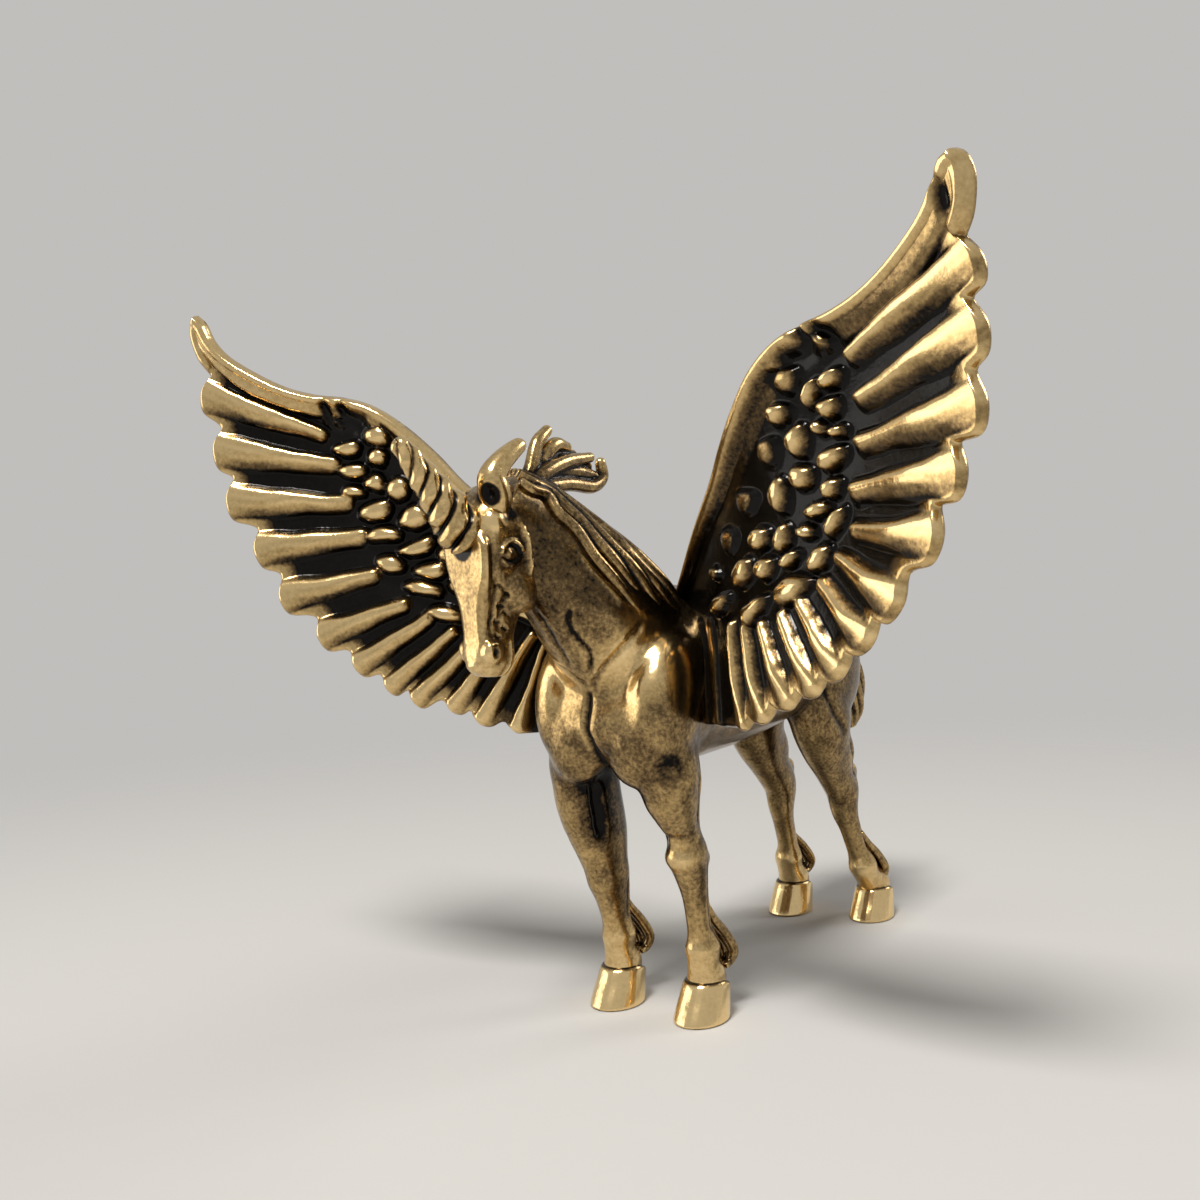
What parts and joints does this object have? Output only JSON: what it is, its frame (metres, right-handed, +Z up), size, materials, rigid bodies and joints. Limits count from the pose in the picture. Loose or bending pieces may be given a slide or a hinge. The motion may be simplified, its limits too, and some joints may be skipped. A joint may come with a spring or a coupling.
{
  "type": "pegasus figurine",
  "caption": "Small antique-brass ornament of a standing winged horse with a spiral horn, wings spread forward and up, resting on flat hooves.",
  "frame": {"origin": "middle of the bounding box's footprint, on the ground under the hooves", "axes": "+Z up, -Y the way the horse faces, +X to the horse's left, along the spread of the wings"},
  "size_m": [0.0538, 0.0478, 0.046],
  "materials": {
    "brass_patina": "antique patina, buffed on the high spots",
    "brass_polished": "polished high spots over blackened recesses",
    "brass_dark": "dark patina with buffed strands"
  },
  "bodies": {
    "root": {"ear_left": "brass_patina", "ear_right": "brass_patina", "fetlock_tuft_fore_left": "brass_dark", "fetlock_tuft_fore_right": "brass_dark", "fetlock_tuft_hind_left": "brass_dark", "fetlock_tuft_hind_right": "brass_dark", "foreleg_left": "brass_patina", "foreleg_right": "brass_patina", "head": "brass_patina", "hindleg_left": "brass_patina", "hindleg_right": "brass_patina", "hoof_fore_left": "brass_polished", "hoof_fore_right": "brass_polished", "hoof_hind_left": "brass_polished", "hoof_hind_right": "brass_polished", "horn": "brass_polished", "mane": "brass_dark", "neck": "brass_patina", "tail": "brass_dark", "trunk": "brass_patina", "wing_left": "brass_polished", "wing_right": "brass_polished"}
  },
  "joints": []
}
